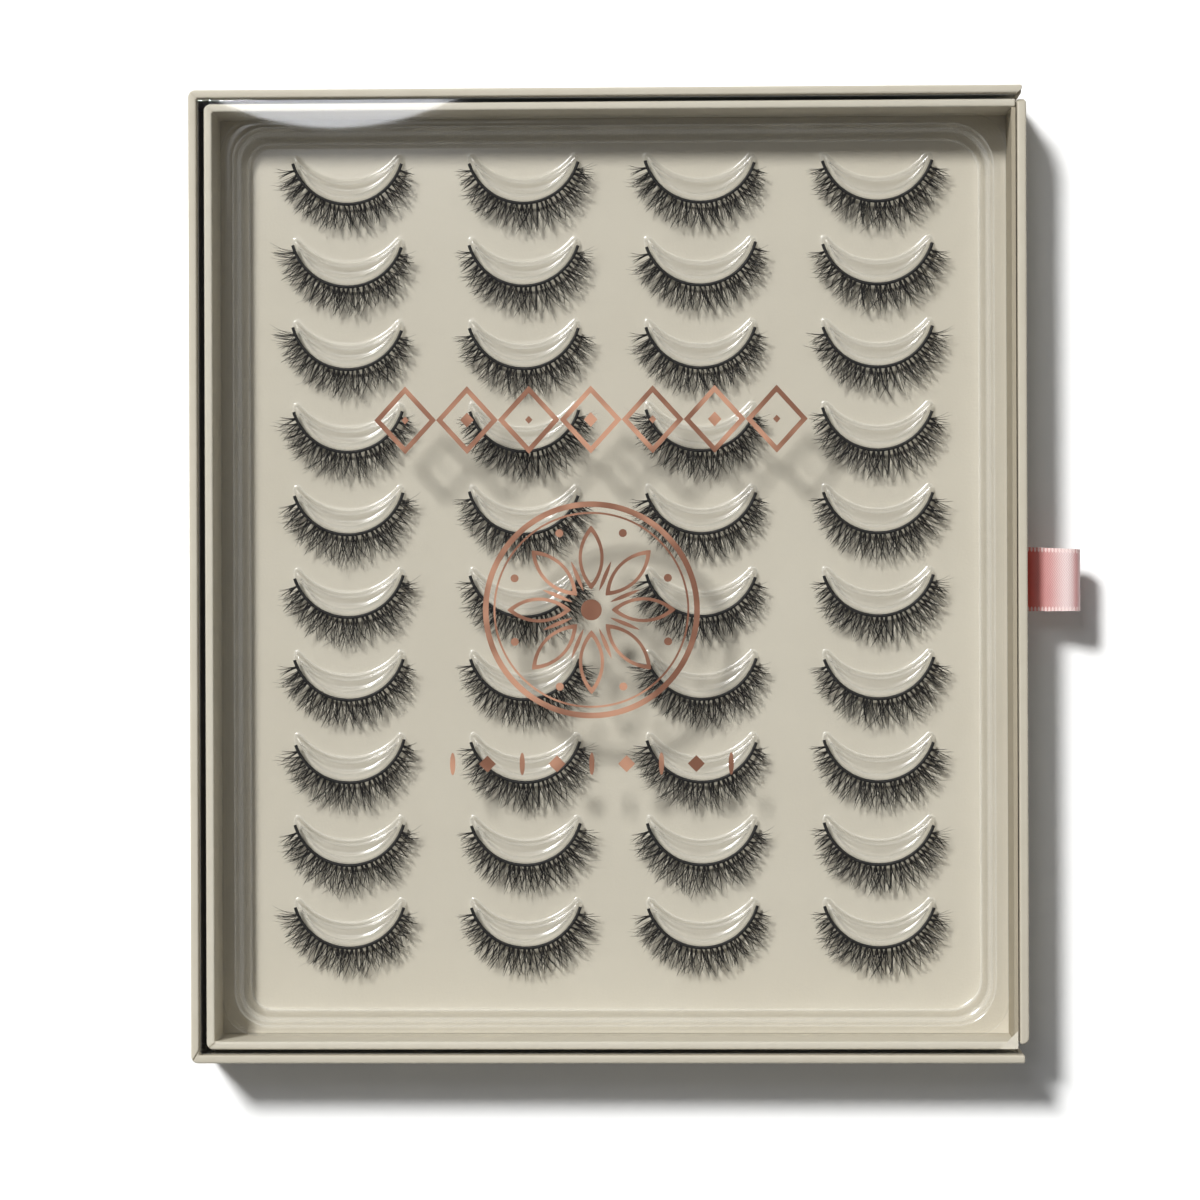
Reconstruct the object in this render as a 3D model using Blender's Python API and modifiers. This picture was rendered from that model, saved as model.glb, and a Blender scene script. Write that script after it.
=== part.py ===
"""Eyelash storage box: a paper-wrapped sleeve with a clear window, and a drawer that slides out of it.

The drawer holds a clear thermoformed tray with forty crescent holders, each with a strip lash.
Metres, +Z up. The origin is the centre of the sleeve's underside, +X is the way the drawer pulls
out, and +Y is the side that the crescents' tips point to.
"""

import math

import bmesh
import bpy
from mathutils import Matrix, Vector

COLLECTION = "eyelash_storage_box"

# Clearances that several pieces share
SEAT_GAP = 0.0003
CUT_OVERRUN = 0.002
WELD_DISTANCE = 0.00002

# Outer sleeve, open at +X
SLEEVE_LENGTH = 0.206
SLEEVE_WIDTH = 0.241
SLEEVE_HEIGHT = 0.025
SLEEVE_BOARD = 0.002
WRAPPED_EDGE = 0.0003

# Clear window, glued by three flanges that fold down inside the sleeve's walls
WINDOW_SHEET = 0.0003
WINDOW_DROP = 0.0003
WINDOW_FLANGE = 0.010
WINDOW_FOLD = 0.0006
WINDOW_END_GAP = 0.0004

# Drawer boards
DRAWER_BOARD = 0.0018
DRAWER_BACK_CLEARANCE = 0.001
DRAWER_SIDE_CLEARANCE = 0.0006
DRAWER_TOP_CLEARANCE = 0.0014
PANEL_BOARD = 0.0022
PANEL_PROUD = 0.001

# Ribbon pull and the liner over its tails
RIBBON_WIDTH = 0.016
RIBBON_SHEET = 0.0003
RIBBON_REACH = 0.0138
RIBBON_SWELL = 0.0042
TAIL_END_ROOM = 0.0005
RIBBON_SHIFT = -0.0012
LINER_CARD = 0.0004

# Backing card and thermoformed tray
BACKING_CARD = 0.0005
TRAY_SHEET = 0.0003
TRAY_DEPTH = 0.008
TRAY_FLANGE = 0.0027
TRAY_SLOPE = 0.0032
TRAY_FILLET = 0.001
TRAY_END_CLEARANCE = 0.00075
TRAY_SIDE_CLEARANCE = 0.0012
TRAY_CORNER = 0.0073

# Crescent holders raised from the tray's floor, spread evenly over it
HOLDER_ROWS = 10
HOLDER_COLUMNS = 4
FIRST_ROW_ROOM = 0.00295
LAST_ROW_ROOM = 0.0151
COLUMN_END_SHARE = 0.7
HOLDER_WIDTH = 0.0264
HOLDER_DEPTH = 0.0115
HOLDER_DIP = 0.0055
HOLDER_TIP = 0.0018
HOLDER_RISE = 0.003
HOLDER_DRAFT = 0.0004
LEDGE_WIDTH = 0.0017
LEDGE_DROP = 0.0005

# Strip lashes: a band along the holder's lower edge, and the hairs that grow from it
BAND_RADIAL = 0.0007
BAND_HEIGHT = 0.0006
BAND_LIFT = 0.0017
LASH_LENGTH = 0.0082
LASH_END_LENGTH = 0.0042
LASH_DIP = 0.0004
LASH_CURL = 0.0026
LASH_HALF_SPAN = math.radians(72)
STRANDS = 12
STRAND_BEND_SHARE = 0.24
STRAND_WIDTH_SHARE = 0.26
STRAND_HEIGHT_SHARE = 0.6
STRAND_STAGGER_SHARE = 0.14
PEAK_SHIFT_SHARE = 0.22

# How finely the round forms are stepped
CORNER_STEPS = 6
LOWER_STEPS = 8
UPPER_STEPS = 6
LOOP_STEPS = 18
BEND_STEPS = 3
FOLD_STEPS = 2
SMOOTH_ANGLE = math.radians(35)

# Finishes: sRGB colour from 0 to 255, roughness and, where it is clear, alpha
SLEEVE_PAPER = {"colour": (203, 197, 180), "roughness": 0.62}
DRAWER_PAPER = {"colour": (200, 193, 176), "roughness": 0.62}
LINER_FINISH = {"colour": (212, 204, 188), "roughness": 0.6}
CARD_FINISH = {"colour": (194, 187, 168), "roughness": 0.7}
WINDOW_PLASTIC = {"colour": (236, 236, 232), "roughness": 0.06, "alpha": 0.18}
TRAY_PLASTIC = {"colour": (225, 224, 216), "roughness": 0.12, "alpha": 0.3}
RIBBON_SATIN = {"colour": (222, 132, 128), "roughness": 0.38}
LASH_FIBRE = {"colour": (24, 20, 20), "roughness": 0.55}

# Places worked out from the sizes above
SLEEVE_BACK = -SLEEVE_LENGTH / 2
SLEEVE_FRONT = SLEEVE_LENGTH / 2
SLEEVE_SIDE = SLEEVE_WIDTH / 2

WINDOW_BACK = SLEEVE_BACK + SLEEVE_BOARD + SEAT_GAP
WINDOW_SIDE = SLEEVE_SIDE - SLEEVE_BOARD - SEAT_GAP
WINDOW_TOP = SLEEVE_HEIGHT - WINDOW_DROP

DRAWER_BACK = WINDOW_BACK + WINDOW_SHEET + DRAWER_BACK_CLEARANCE
DRAWER_FRONT = SLEEVE_FRONT + PANEL_PROUD
DRAWER_SIDE = WINDOW_SIDE - WINDOW_SHEET - DRAWER_SIDE_CLEARANCE
DRAWER_BOTTOM = SLEEVE_BOARD + SEAT_GAP
DRAWER_TOP = WINDOW_TOP - WINDOW_SHEET - DRAWER_TOP_CLEARANCE
DRAWER_FLOOR = DRAWER_BOTTOM + DRAWER_BOARD + SEAT_GAP

PANEL_INNER = DRAWER_FRONT - PANEL_BOARD
TAIL_PLANE = PANEL_INNER - SEAT_GAP - RIBBON_SHEET / 2
LINER_OUTER = PANEL_INNER - 2 * SEAT_GAP - RIBBON_SHEET
LINER_INNER = LINER_OUTER - LINER_CARD
SLIT_HEIGHT = (DRAWER_BOTTOM + SLEEVE_HEIGHT) / 2
LAYER_OFFSET = (SEAT_GAP + RIBBON_SHEET) / 2

INSIDE_BACK = DRAWER_BACK + DRAWER_BOARD
INSIDE_SIDE = DRAWER_SIDE - DRAWER_BOARD

TRAY_CENTRE = (INSIDE_BACK + LINER_INNER) / 2
TRAY_HALF_LENGTH = (LINER_INNER - INSIDE_BACK) / 2 - TRAY_END_CLEARANCE
TRAY_HALF_WIDTH = INSIDE_SIDE - TRAY_SIDE_CLEARANCE
TRAY_FLOOR = DRAWER_FLOOR + BACKING_CARD + SEAT_GAP + TRAY_SHEET
FLOOR_HALF_LENGTH = TRAY_HALF_LENGTH - TRAY_FLANGE - TRAY_SLOPE
FLOOR_HALF_WIDTH = TRAY_HALF_WIDTH - TRAY_FLANGE - TRAY_SLOPE

COLUMN_SPARE = 2 * FLOOR_HALF_LENGTH - HOLDER_COLUMNS * HOLDER_WIDTH
COLUMN_GAP = COLUMN_SPARE / (HOLDER_COLUMNS - 1 + 2 * COLUMN_END_SHARE)
COLUMN_PITCH = HOLDER_WIDTH + COLUMN_GAP
ROW_RUN = 2 * FLOOR_HALF_WIDTH - FIRST_ROW_ROOM - LAST_ROW_ROOM - HOLDER_DEPTH
ROW_PITCH = ROW_RUN / (HOLDER_ROWS - 1)


def clear_scene():
    """Empties the scene and makes the two collections."""
    for old in list(bpy.data.objects):
        bpy.data.objects.remove(old)
    parts = bpy.data.collections.new(COLLECTION)
    cutters = bpy.data.collections.new("cutters")
    bpy.context.scene.collection.children.link(parts)
    bpy.context.scene.collection.children.link(cutters)
    return parts, cutters


def body_empty(name, place):
    """The empty that carries one rigid body of the box."""
    empty = bpy.data.objects.new(name, None)
    empty.location = place
    PARTS.objects.link(empty)
    bpy.context.view_layer.update()
    return empty


def linear(channel):
    """One sRGB channel, from 0 to 255, as linear light."""
    value = channel / 255
    return value / 12.92 if value <= 0.04045 else ((value + 0.055) / 1.055) ** 2.4


def finish(piece, body, colour, roughness, alpha=1.0):
    """Gives a piece its own material and hangs it on its body's empty."""
    material = bpy.data.materials.new(piece.name + "_finish")
    material.use_nodes = True
    shader = material.node_tree.nodes["Principled BSDF"]
    shader.inputs["Base Color"].default_value = [linear(channel) for channel in colour] + [1.0]
    shader.inputs["Roughness"].default_value = roughness
    shader.inputs["Metallic"].default_value = 0.0
    shader.inputs["Alpha"].default_value = alpha
    if piece.data.materials:
        piece.data.materials[0] = material
    else:
        piece.data.materials.append(material)
    piece.parent = body
    piece.matrix_parent_inverse = body.matrix_world.inverted()
    return piece


def add_piece(name, data, place=(0, 0, 0)):
    """A new object in the parts collection."""
    piece = bpy.data.objects.new(name, data)
    piece.location = place
    PARTS.objects.link(piece)
    return piece


def round_edges(piece, width, steps=1):
    """Softens the edges of a piece with a live Bevel."""
    bevel = piece.modifiers.new("rounded edges", "BEVEL")
    bevel.width = width
    bevel.segments = steps
    bevel.limit_method = "ANGLE"
    bevel.use_clamp_overlap = True


def give_thickness(piece, sheet, offset=-1):
    """Turns an open surface into a sheet: offset -1 lies under the surface, 0 halfway through it."""
    solid = piece.modifiers.new("sheet", "SOLIDIFY")
    solid.solidify_mode = "NON_MANIFOLD"
    solid.nonmanifold_thickness_mode = "CONSTRAINTS"
    solid.thickness = sheet
    solid.offset = offset


def block(name, low, high, collection=None):
    """A box between two corners, from the cube primitive."""
    size = [b - a for a, b in zip(low, high)]
    centre = [(a + b) / 2 for a, b in zip(low, high)]
    bpy.ops.mesh.primitive_cube_add(size=1, location=centre, scale=size)
    piece = bpy.context.active_object
    bpy.ops.object.transform_apply(location=False, rotation=False, scale=True)
    piece.name = name
    for home in list(piece.users_collection):
        home.objects.unlink(piece)
    (collection or PARTS).objects.link(piece)
    return piece


def board(name, outline, base, top):
    """A wrapped board that stands on base: a filled outline in plan, drawn up to top."""
    curve = bpy.data.curves.new(name, "CURVE")
    curve.dimensions = "2D"
    curve.fill_mode = "BOTH"
    curve.extrude = (top - base) / 2
    spline = curve.splines.new("POLY")
    spline.points.add(len(outline) - 1)
    for point, (x, y) in zip(spline.points, outline):
        point.co = (x, y, 0, 1)
    spline.use_cyclic_u = True
    piece = add_piece(name, curve, (0, 0, (base + top) / 2))
    weld = piece.modifiers.new("welded caps", "WELD")
    weld.merge_threshold = WELD_DISTANCE
    round_edges(piece, WRAPPED_EDGE)
    return piece


def mitred_walls(prefix, back, front, side, thickness, base, top):
    """A back wall and two side walls, mitred where their wrapped ends meet at the back corners."""
    inner_back = back + thickness
    inner_side = side - thickness
    shift = SEAT_GAP / math.sqrt(2)
    across = [
        (back, side - shift),
        (inner_back, inner_side - shift),
        (inner_back, shift - inner_side),
        (back, shift - side),
    ]
    along = [
        (back + shift, side),
        (front, side),
        (front, inner_side),
        (inner_back + shift, inner_side),
    ]
    mirrored = [(x, -y) for x, y in along]
    return [
        board(prefix + "_back_wall", across, base, top),
        board(prefix + "_upper_wall", along, base, top),
        board(prefix + "_lower_wall", mirrored, base, top),
    ]


def make_sleeve(body):
    """Three wrapped walls round a base board that lies flush with their lower edges."""
    pieces = mitred_walls(
        "sleeve", SLEEVE_BACK, SLEEVE_FRONT, SLEEVE_SIDE, SLEEVE_BOARD, 0, SLEEVE_HEIGHT
    )
    inside = SLEEVE_SIDE - SLEEVE_BOARD - SEAT_GAP
    base = block(
        "sleeve_base_board",
        (SLEEVE_BACK + SLEEVE_BOARD + SEAT_GAP, -inside, 0),
        (SLEEVE_FRONT, inside, SLEEVE_BOARD),
    )
    round_edges(base, WRAPPED_EDGE)
    for piece in pieces + [base]:
        finish(piece, body, **SLEEVE_PAPER)


def make_window(body):
    """One clear sheet, folded down on three sides and free at the drawer's end."""
    free_end = PANEL_INNER - WINDOW_END_GAP
    bm = bmesh.new()
    middle = (WINDOW_BACK + free_end) / 2
    place = Matrix.Translation((middle, 0, WINDOW_TOP))
    stretch = Matrix.Diagonal((free_end - WINDOW_BACK, 2 * WINDOW_SIDE, 1, 1))
    bmesh.ops.create_grid(bm, x_segments=1, y_segments=1, size=0.5, matrix=place @ stretch)
    folded = [edge for edge in bm.edges if min(vert.co.x for vert in edge.verts) < middle]
    flaps = bmesh.ops.extrude_edge_only(bm, edges=folded)["geom"]
    flap_verts = [item for item in flaps if isinstance(item, bmesh.types.BMVert)]
    bmesh.ops.translate(bm, verts=flap_verts, vec=(0, 0, -WINDOW_FLANGE))
    bmesh.ops.recalc_face_normals(bm, faces=bm.faces)
    turn_up(bm)
    mesh = bpy.data.meshes.new("window_sheet")
    bm.to_mesh(mesh)
    bm.free()
    window = add_piece("window_sheet", mesh)
    round_edges(window, WINDOW_FOLD, FOLD_STEPS)
    give_thickness(window, WINDOW_SHEET)
    finish(window, body, **WINDOW_PLASTIC)


def turn_up(bm):
    """Turns an open surface over if its largest face looks down."""
    bm.normal_update()
    largest = max(bm.faces, key=lambda face: face.calc_area())
    if largest.normal.z < 0:
        bmesh.ops.reverse_faces(bm, faces=bm.faces)


def make_drawer_boards(body):
    """Three low walls, a base board between them and the taller front panel with its slit."""
    wall_end = PANEL_INNER - SEAT_GAP
    pieces = mitred_walls(
        "drawer", DRAWER_BACK, wall_end, DRAWER_SIDE, DRAWER_BOARD, DRAWER_BOTTOM, DRAWER_TOP
    )
    inside = INSIDE_SIDE - SEAT_GAP
    base = block(
        "drawer_base_board",
        (INSIDE_BACK + SEAT_GAP, -inside, DRAWER_BOTTOM),
        (wall_end, inside, DRAWER_BOTTOM + DRAWER_BOARD),
    )
    panel = block(
        "drawer_front_panel",
        (PANEL_INNER, -DRAWER_SIDE, DRAWER_BOTTOM),
        (DRAWER_FRONT, DRAWER_SIDE, SLEEVE_HEIGHT),
    )
    for piece in (base, panel):
        round_edges(piece, WRAPPED_EDGE)
    half_slit = RIBBON_WIDTH / 2 + SEAT_GAP
    slit_rise = LAYER_OFFSET + RIBBON_SHEET / 2 + SEAT_GAP
    cutter = block(
        "ribbon_slit_cutter",
        (PANEL_INNER - CUT_OVERRUN, RIBBON_SHIFT - half_slit, SLIT_HEIGHT - slit_rise),
        (DRAWER_FRONT + CUT_OVERRUN, RIBBON_SHIFT + half_slit, SLIT_HEIGHT + slit_rise),
        CUTTERS,
    )
    cutter.hide_render = True
    cutter.display_type = "WIRE"
    slit = panel.modifiers.new("ribbon slit", "BOOLEAN")
    slit.operation = "DIFFERENCE"
    slit.object = cutter
    for piece in pieces + [base, panel]:
        finish(piece, body, **DRAWER_PAPER)


def make_liner(body):
    """The card strip that stands before the front panel and hides the ribbon's tails."""
    inside = INSIDE_SIDE - SEAT_GAP
    liner = block(
        "drawer_front_liner",
        (LINER_INNER, -inside, DRAWER_FLOOR),
        (LINER_OUTER, inside, DRAWER_TOP),
    )
    finish(liner, body, **LINER_FINISH)


def loop_point(turn):
    """A point of the ribbon's open loop, as its reach and height from the slit."""
    reach = (RIBBON_REACH - RIBBON_SHEET / 2) * (1 - math.cos(turn)) / 2
    teardrop = math.sin(turn) * math.sin(turn / 2)
    height = LAYER_OFFSET * math.cos(turn / 2) + RIBBON_SWELL * teardrop
    return reach, -height


def ribbon_path():
    """The ribbon's middle line from one glued tail, out through the slit, round and back."""
    bend = PANEL_INNER - TAIL_PLANE
    lower = SLIT_HEIGHT - LAYER_OFFSET
    path = [(TAIL_PLANE, DRAWER_FLOOR + TAIL_END_ROOM)]
    for step in range(BEND_STEPS + 1):
        angle = math.pi / 2 * step / BEND_STEPS
        path.append((PANEL_INNER - bend * math.cos(angle), lower - bend + bend * math.sin(angle)))
    for step in range(LOOP_STEPS + 1):
        reach, height = loop_point(2 * math.pi * step / LOOP_STEPS)
        path.append((DRAWER_FRONT + reach, SLIT_HEIGHT + height))
    back = [(x, 2 * SLIT_HEIGHT - z) for x, z in reversed(path[: BEND_STEPS + 2])]
    return path + back


def make_ribbon(body):
    """One satin strip, doubled into a pull."""
    bm = bmesh.new()
    edge = RIBBON_SHIFT - RIBBON_WIDTH / 2
    verts = [bm.verts.new((x, edge, z)) for x, z in ribbon_path()]
    line = [bm.edges.new(pair) for pair in zip(verts, verts[1:])]
    strip = bmesh.ops.extrude_edge_only(bm, edges=line)["geom"]
    far = [item for item in strip if isinstance(item, bmesh.types.BMVert)]
    bmesh.ops.translate(bm, verts=far, vec=(0, RIBBON_WIDTH, 0))
    bmesh.ops.recalc_face_normals(bm, faces=bm.faces)
    mesh = bpy.data.meshes.new("ribbon_pull")
    bm.to_mesh(mesh)
    bm.free()
    mesh.shade_smooth()
    ribbon = add_piece("ribbon_pull", mesh)
    give_thickness(ribbon, RIBBON_SHEET, 0)
    finish(ribbon, body, **RIBBON_SATIN)


def make_card(body):
    """The greige card that lies on the drawer's base and shows through the tray."""
    inside = INSIDE_SIDE - SEAT_GAP
    card = block(
        "backing_card",
        (INSIDE_BACK + SEAT_GAP, -inside, DRAWER_FLOOR),
        (LINER_INNER - SEAT_GAP, inside, DRAWER_FLOOR + BACKING_CARD),
    )
    finish(card, body, **CARD_FINISH)


def arc_points(half_chord, sagitta, steps):
    """Points along an arc that hangs below its chord, from its left end to its right end."""
    radius = (half_chord**2 + sagitta**2) / (2 * sagitta)
    centre = radius - sagitta
    half_angle = math.atan2(half_chord, centre)
    points = []
    for step in range(steps + 1):
        angle = half_angle * (2 * step / steps - 1)
        points.append((radius * math.sin(angle), centre - radius * math.cos(angle)))
    return points


def holder_outline(inset):
    """A crescent with blunt tips, drawn in by inset all round."""
    lower = arc_points(HOLDER_WIDTH / 2 - inset, HOLDER_DEPTH - 2 * inset, LOWER_STEPS)
    upper = arc_points(HOLDER_WIDTH / 2 - HOLDER_TIP + inset / 2, HOLDER_DIP, UPPER_STEPS)
    return [(x, y - inset) for x, y in lower + upper[::-1]]


def ledge_line():
    """The line on a crescent's top between its ledge and its crown, without its two ends."""
    half_chord = HOLDER_WIDTH / 2 - HOLDER_TIP + HOLDER_DRAFT / 2
    line = arc_points(half_chord, HOLDER_DEPTH - 2 * HOLDER_DRAFT - LEDGE_WIDTH, LOWER_STEPS)
    return [(x, y - HOLDER_DRAFT) for x, y in line[1:-1]]


def holder_places():
    """Row, column and place of each holder: the middle of the line between its tips."""
    for row in range(HOLDER_ROWS):
        y = FLOOR_HALF_WIDTH - FIRST_ROW_ROOM - row * ROW_PITCH
        for column in range(HOLDER_COLUMNS):
            x = TRAY_CENTRE + (column - (HOLDER_COLUMNS - 1) / 2) * COLUMN_PITCH
            yield row, column, (x, y)


def rounded_ring(inset):
    """The tray's rounded rectangle in plan, drawn in by inset from the flange's edge."""
    straight_x = TRAY_HALF_LENGTH - inset - TRAY_CORNER
    straight_y = TRAY_HALF_WIDTH - inset - TRAY_CORNER
    points = []
    for quarter, (sx, sy) in enumerate(((1, 1), (-1, 1), (-1, -1), (1, -1))):
        for step in range(CORNER_STEPS + 1):
            angle = math.pi / 2 * (quarter + step / CORNER_STEPS)
            x = TRAY_CENTRE + sx * straight_x + TRAY_CORNER * math.cos(angle)
            y = sy * straight_y + TRAY_CORNER * math.sin(angle)
            points.append((x, y))
    return points


def add_loop(bm, points, height):
    """A closed loop of edges at one height."""
    verts = [bm.verts.new((x, y, height)) for x, y in points]
    return [bm.edges.new(pair) for pair in zip(verts, verts[1:] + verts[:1])]


def tray_rim(bm):
    """Flange, sloped wall and its two fillets, down to the floor's edge, which is returned."""
    rim = TRAY_FLOOR + TRAY_DEPTH
    wall_top = TRAY_FLANGE + TRAY_FILLET / 2
    wall_foot = TRAY_FLANGE + TRAY_SLOPE - TRAY_FILLET
    levels = [
        (0, rim),
        (TRAY_FLANGE, rim),
        (wall_top, rim - TRAY_FILLET / 2),
        (wall_foot, TRAY_FLOOR + TRAY_FILLET),
        (TRAY_FLANGE + TRAY_SLOPE, TRAY_FLOOR),
    ]
    outer = None
    for inset, height in levels:
        inner = add_loop(bm, rounded_ring(inset), height)
        if outer:
            bmesh.ops.bridge_loops(bm, edges=outer + inner)
        outer = inner
    return outer


def raise_holder(bm, x, y):
    """One crescent: walls up to its ledge, and the crown a step higher. Returns the edges of its foot."""
    ledge_height = TRAY_FLOOR + HOLDER_RISE - LEDGE_DROP
    foot = [(x + dx, y + dy) for dx, dy in holder_outline(0)]
    rim = [(x + dx, y + dy) for dx, dy in holder_outline(HOLDER_DRAFT)]
    foot_loop = add_loop(bm, foot, TRAY_FLOOR)
    rim_loop = add_loop(bm, rim, ledge_height)
    bmesh.ops.bridge_loops(bm, edges=foot_loop + rim_loop)
    (top,) = bmesh.ops.contextual_create(bm, geom=rim_loop)["faces"]
    right_tip = rim_loop[LOWER_STEPS].verts[1]
    left_tip = rim_loop[-1].verts[0]
    line = [(x + dx, y + dy, ledge_height) for dx, dy in ledge_line()]
    part, _ = bmesh.utils.face_split(top, left_tip, right_tip, coords=line)
    crown = min((top, part), key=lambda face: len(face.verts))
    (raised,) = bmesh.ops.extrude_discrete_faces(bm, faces=[crown])["faces"]
    bmesh.ops.translate(bm, verts=raised.verts, vec=(0, 0, LEDGE_DROP))
    return foot_loop


def make_tray(body):
    """The thermoformed sheet: rim, floor and forty raised crescents, open from below."""
    bm = bmesh.new()
    floor_edges = tray_rim(bm)
    for _, _, (x, y) in holder_places():
        floor_edges += raise_holder(bm, x, y)
    bmesh.ops.triangle_fill(bm, use_beauty=True, edges=floor_edges)
    bmesh.ops.recalc_face_normals(bm, faces=bm.faces)
    turn_up(bm)
    mesh = bpy.data.meshes.new("blister_tray")
    bm.to_mesh(mesh)
    bm.free()
    mesh.shade_smooth()
    mesh.set_sharp_from_angle(angle=SMOOTH_ANGLE)
    tray = add_piece("blister_tray", mesh)
    give_thickness(tray, TRAY_SHEET)
    finish(tray, body, **TRAY_PLASTIC)


def strand_length(angle, side):
    """How far a strand reaches: longest past the middle, on the lash's outer side."""
    along = (angle / LASH_HALF_SPAN - side * PEAK_SHIFT_SHARE) / (1 + PEAK_SHIFT_SHARE)
    swell = math.cos(along * math.pi / 2)
    return LASH_END_LENGTH + (LASH_LENGTH - LASH_END_LENGTH) * swell


def grow_strand(bm, root, direction, length):
    """Draws one face of the band out into a strand that bends up to a point."""
    centre = root.calc_center_median()
    middle = centre + direction * length * STRAND_BEND_SHARE - Vector((0, 0, LASH_DIP))
    (end,) = bmesh.ops.extrude_discrete_faces(bm, faces=[root])["faces"]
    for vert in end.verts:
        offset = vert.co - centre
        flat = Vector((offset.x, offset.y, 0)) * STRAND_WIDTH_SHARE
        vert.co = middle + flat + Vector((0, 0, offset.z * STRAND_HEIGHT_SHARE))
    (tip,) = bmesh.ops.poke(bm, faces=[end])["verts"]
    tip.co = centre + direction * length + Vector((0, 0, LASH_CURL))


def lash_mesh(name, side):
    """A strip lash about its holder's origin: side is 1 or -1, the end with the longer hairs."""
    arc_radius = ((HOLDER_WIDTH / 2) ** 2 + HOLDER_DEPTH**2) / (2 * HOLDER_DEPTH)
    hub = Vector((0, arc_radius - HOLDER_DEPTH, 0))
    inner = arc_radius + SEAT_GAP
    turn = Matrix.Rotation(-LASH_HALF_SPAN - math.pi / 2, 4, "Z")
    out = Matrix.Translation((inner + BAND_RADIAL / 2, 0, BAND_LIFT + BAND_HEIGHT / 2))
    upright = Matrix.Rotation(math.pi / 2, 4, "X")
    section = Matrix.Diagonal((BAND_RADIAL, BAND_HEIGHT, 1, 1))
    place = Matrix.Translation(hub) @ turn @ out @ upright @ section
    bm = bmesh.new()
    bmesh.ops.create_grid(bm, x_segments=1, y_segments=1, size=0.5, matrix=place)
    bmesh.ops.spin(
        bm, geom=bm.faces[:], cent=hub, axis=(0, 0, 1), angle=2 * LASH_HALF_SPAN, steps=STRANDS
    )
    bmesh.ops.recalc_face_normals(bm, faces=bm.faces)
    outer_faces = []
    for face in bm.faces:
        spoke = face.calc_center_median() - hub
        spoke.z = 0
        if face.normal.dot(spoke.normalized()) > math.cos(SMOOTH_ANGLE):
            outer_faces.append((math.atan2(spoke.x, -spoke.y), face, spoke.normalized()))
    outer_faces.sort(key=lambda entry: entry[0])
    for count, (angle, face, direction) in enumerate(outer_faces):
        stagger = 1 - STRAND_STAGGER_SHARE * (count % 2)
        grow_strand(bm, face, direction, strand_length(angle, side) * stagger)
    mesh = bpy.data.meshes.new(name)
    bm.to_mesh(mesh)
    bm.free()
    return mesh


def make_lashes(body):
    """Forty strip lashes: a left and a right of each pair lie side by side."""
    left = lash_mesh("left_lash", -1)
    right = lash_mesh("right_lash", 1)
    for row, column, (x, y) in holder_places():
        mesh = (right if column % 2 else left).copy()
        name = f"lash_r{row + 1:02d}_c{column + 1}"
        lash = add_piece(name, mesh, (x, y, TRAY_FLOOR))
        finish(lash, body, **LASH_FIBRE)


PARTS, CUTTERS = clear_scene()
SLEEVE = body_empty("sleeve_frame", (0, 0, 0))
DRAWER = body_empty("drawer_frame", (0, 0, DRAWER_BOTTOM))
make_sleeve(SLEEVE)
make_window(SLEEVE)
make_drawer_boards(DRAWER)
make_liner(DRAWER)
make_ribbon(DRAWER)
make_card(DRAWER)
make_tray(DRAWER)
make_lashes(DRAWER)
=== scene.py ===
"""Eyelash storage box, dressed: a papered sleeve with a clear window over a drawer of strip lashes."""

import math
import random

import bmesh
import bpy
from mathutils import Matrix, Vector
from mathutils.kdtree import KDTree


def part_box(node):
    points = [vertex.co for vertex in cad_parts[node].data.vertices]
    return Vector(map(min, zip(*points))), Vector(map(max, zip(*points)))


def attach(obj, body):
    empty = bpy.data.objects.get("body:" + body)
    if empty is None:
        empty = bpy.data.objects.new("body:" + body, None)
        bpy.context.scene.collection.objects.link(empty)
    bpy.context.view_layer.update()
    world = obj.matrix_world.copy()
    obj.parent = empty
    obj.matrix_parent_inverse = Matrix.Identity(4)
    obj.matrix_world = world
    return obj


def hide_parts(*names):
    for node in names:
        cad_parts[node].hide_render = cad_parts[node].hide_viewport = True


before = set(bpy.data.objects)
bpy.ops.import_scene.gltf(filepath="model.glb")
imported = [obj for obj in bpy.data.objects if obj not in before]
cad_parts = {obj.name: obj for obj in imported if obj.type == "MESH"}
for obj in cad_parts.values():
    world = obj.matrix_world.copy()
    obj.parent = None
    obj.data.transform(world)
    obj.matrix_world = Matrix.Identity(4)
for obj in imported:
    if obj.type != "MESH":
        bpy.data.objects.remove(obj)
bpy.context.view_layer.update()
bpy.ops.object.select_all(action="DESELECT")
bpy.context.scene.view_settings.view_transform = "Standard"
bpy.context.scene.cycles.transparent_max_bounces = 32


# Camera. It looks down on the closed box from about a metre up, from a little
# to the ribbon's side of its middle, so the far walls show a sliver of their inner faces.
CAMERA_PLACE = (0.0257, -0.0065, 0.993)
CAMERA_TURN = (math.radians(0.02), math.radians(1.6), math.radians(-0.19))
CAMERA_LENS = 117.7

bpy.ops.object.camera_add(location=CAMERA_PLACE, rotation=CAMERA_TURN)
camera = bpy.context.active_object
camera.data.lens = CAMERA_LENS
camera.data.sensor_width = 36
camera.data.clip_start = 0.01
bpy.context.scene.camera = camera


# Floor. A smooth white table that only carries the box's shadow. It isn't part of the box, so it
# is staged. It lies a hair under the box, whose base would share its plane otherwise.
FLOOR_SIZE = 8
FLOOR_DROP = 0.00005
FLOOR_WHITE = (253, 253, 252)
FLOOR_SHADE = (250, 250, 249)
FLOOR_CLOUD = 0.02


def srgb(colour):
    """A colour given from 0 to 255 as the linear values that a shader takes."""
    shares = [channel / 255 for channel in colour]
    return [s / 12.92 if s <= 0.04045 else ((s + 0.055) / 1.055) ** 2.4 for s in shares] + [1]


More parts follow.
